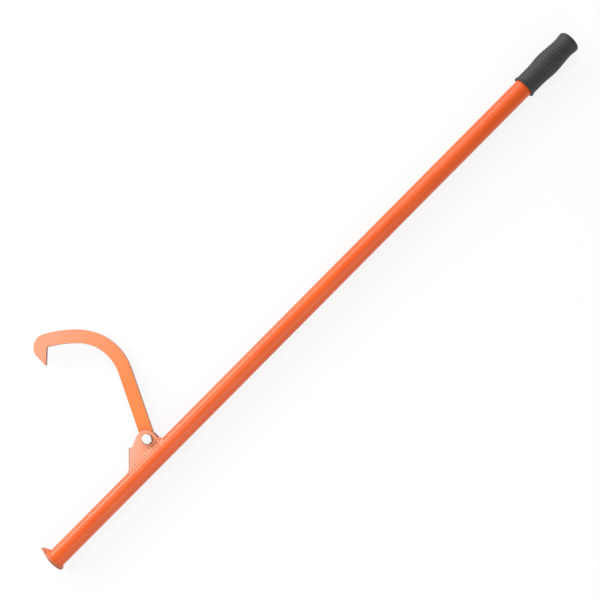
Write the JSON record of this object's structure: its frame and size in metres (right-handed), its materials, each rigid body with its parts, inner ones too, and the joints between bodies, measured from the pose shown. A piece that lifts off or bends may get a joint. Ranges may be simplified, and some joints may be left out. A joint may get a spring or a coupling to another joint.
{
  "type": "felling lever",
  "caption": "Felling lever: a steel tube handle with a beaked toe plate, a swinging cant hook on a bolt in a folded bracket, and a grooved rubber grip.",
  "frame": {"origin": "centre of the toe plate's outer face, on the tube's axis", "axes": "+X along the tube to the grip, +Y to the hook's side, +Z along the hook's pivot axis, up as the tool lies on its side"},
  "size_m": [1.219, 0.3088, 0.0414],
  "materials": {
    "orange_paint": "semi-gloss powder coat",
    "hook_paint": "semi-gloss powder coat",
    "plated_steel": "bright zinc plate",
    "nylon": "smooth",
    "black_rubber": "matte moulded"
  },
  "bodies": {
    "handle": {"handle_tube": "orange_paint", "toe_plate": "orange_paint", "toe_weld": "orange_paint", "hook_bracket": "orange_paint", "bracket_weld_near": "orange_paint", "bracket_weld_far": "orange_paint", "pivot_bolt": "plated_steel", "nut_washer": "plated_steel", "lock_nut": "plated_steel", "nut_insert": "nylon", "rubber_grip": "black_rubber"},
    "hook": {"hook": "hook_paint"}
  },
  "joints": [
    {"name": "hook_pivot", "type": "hinge", "parent": "handle", "child": "hook", "pos_m": [0.2545, 0.0309, 0], "axis": [0, 0, 1], "range_deg": [-66, 73]}
  ]
}
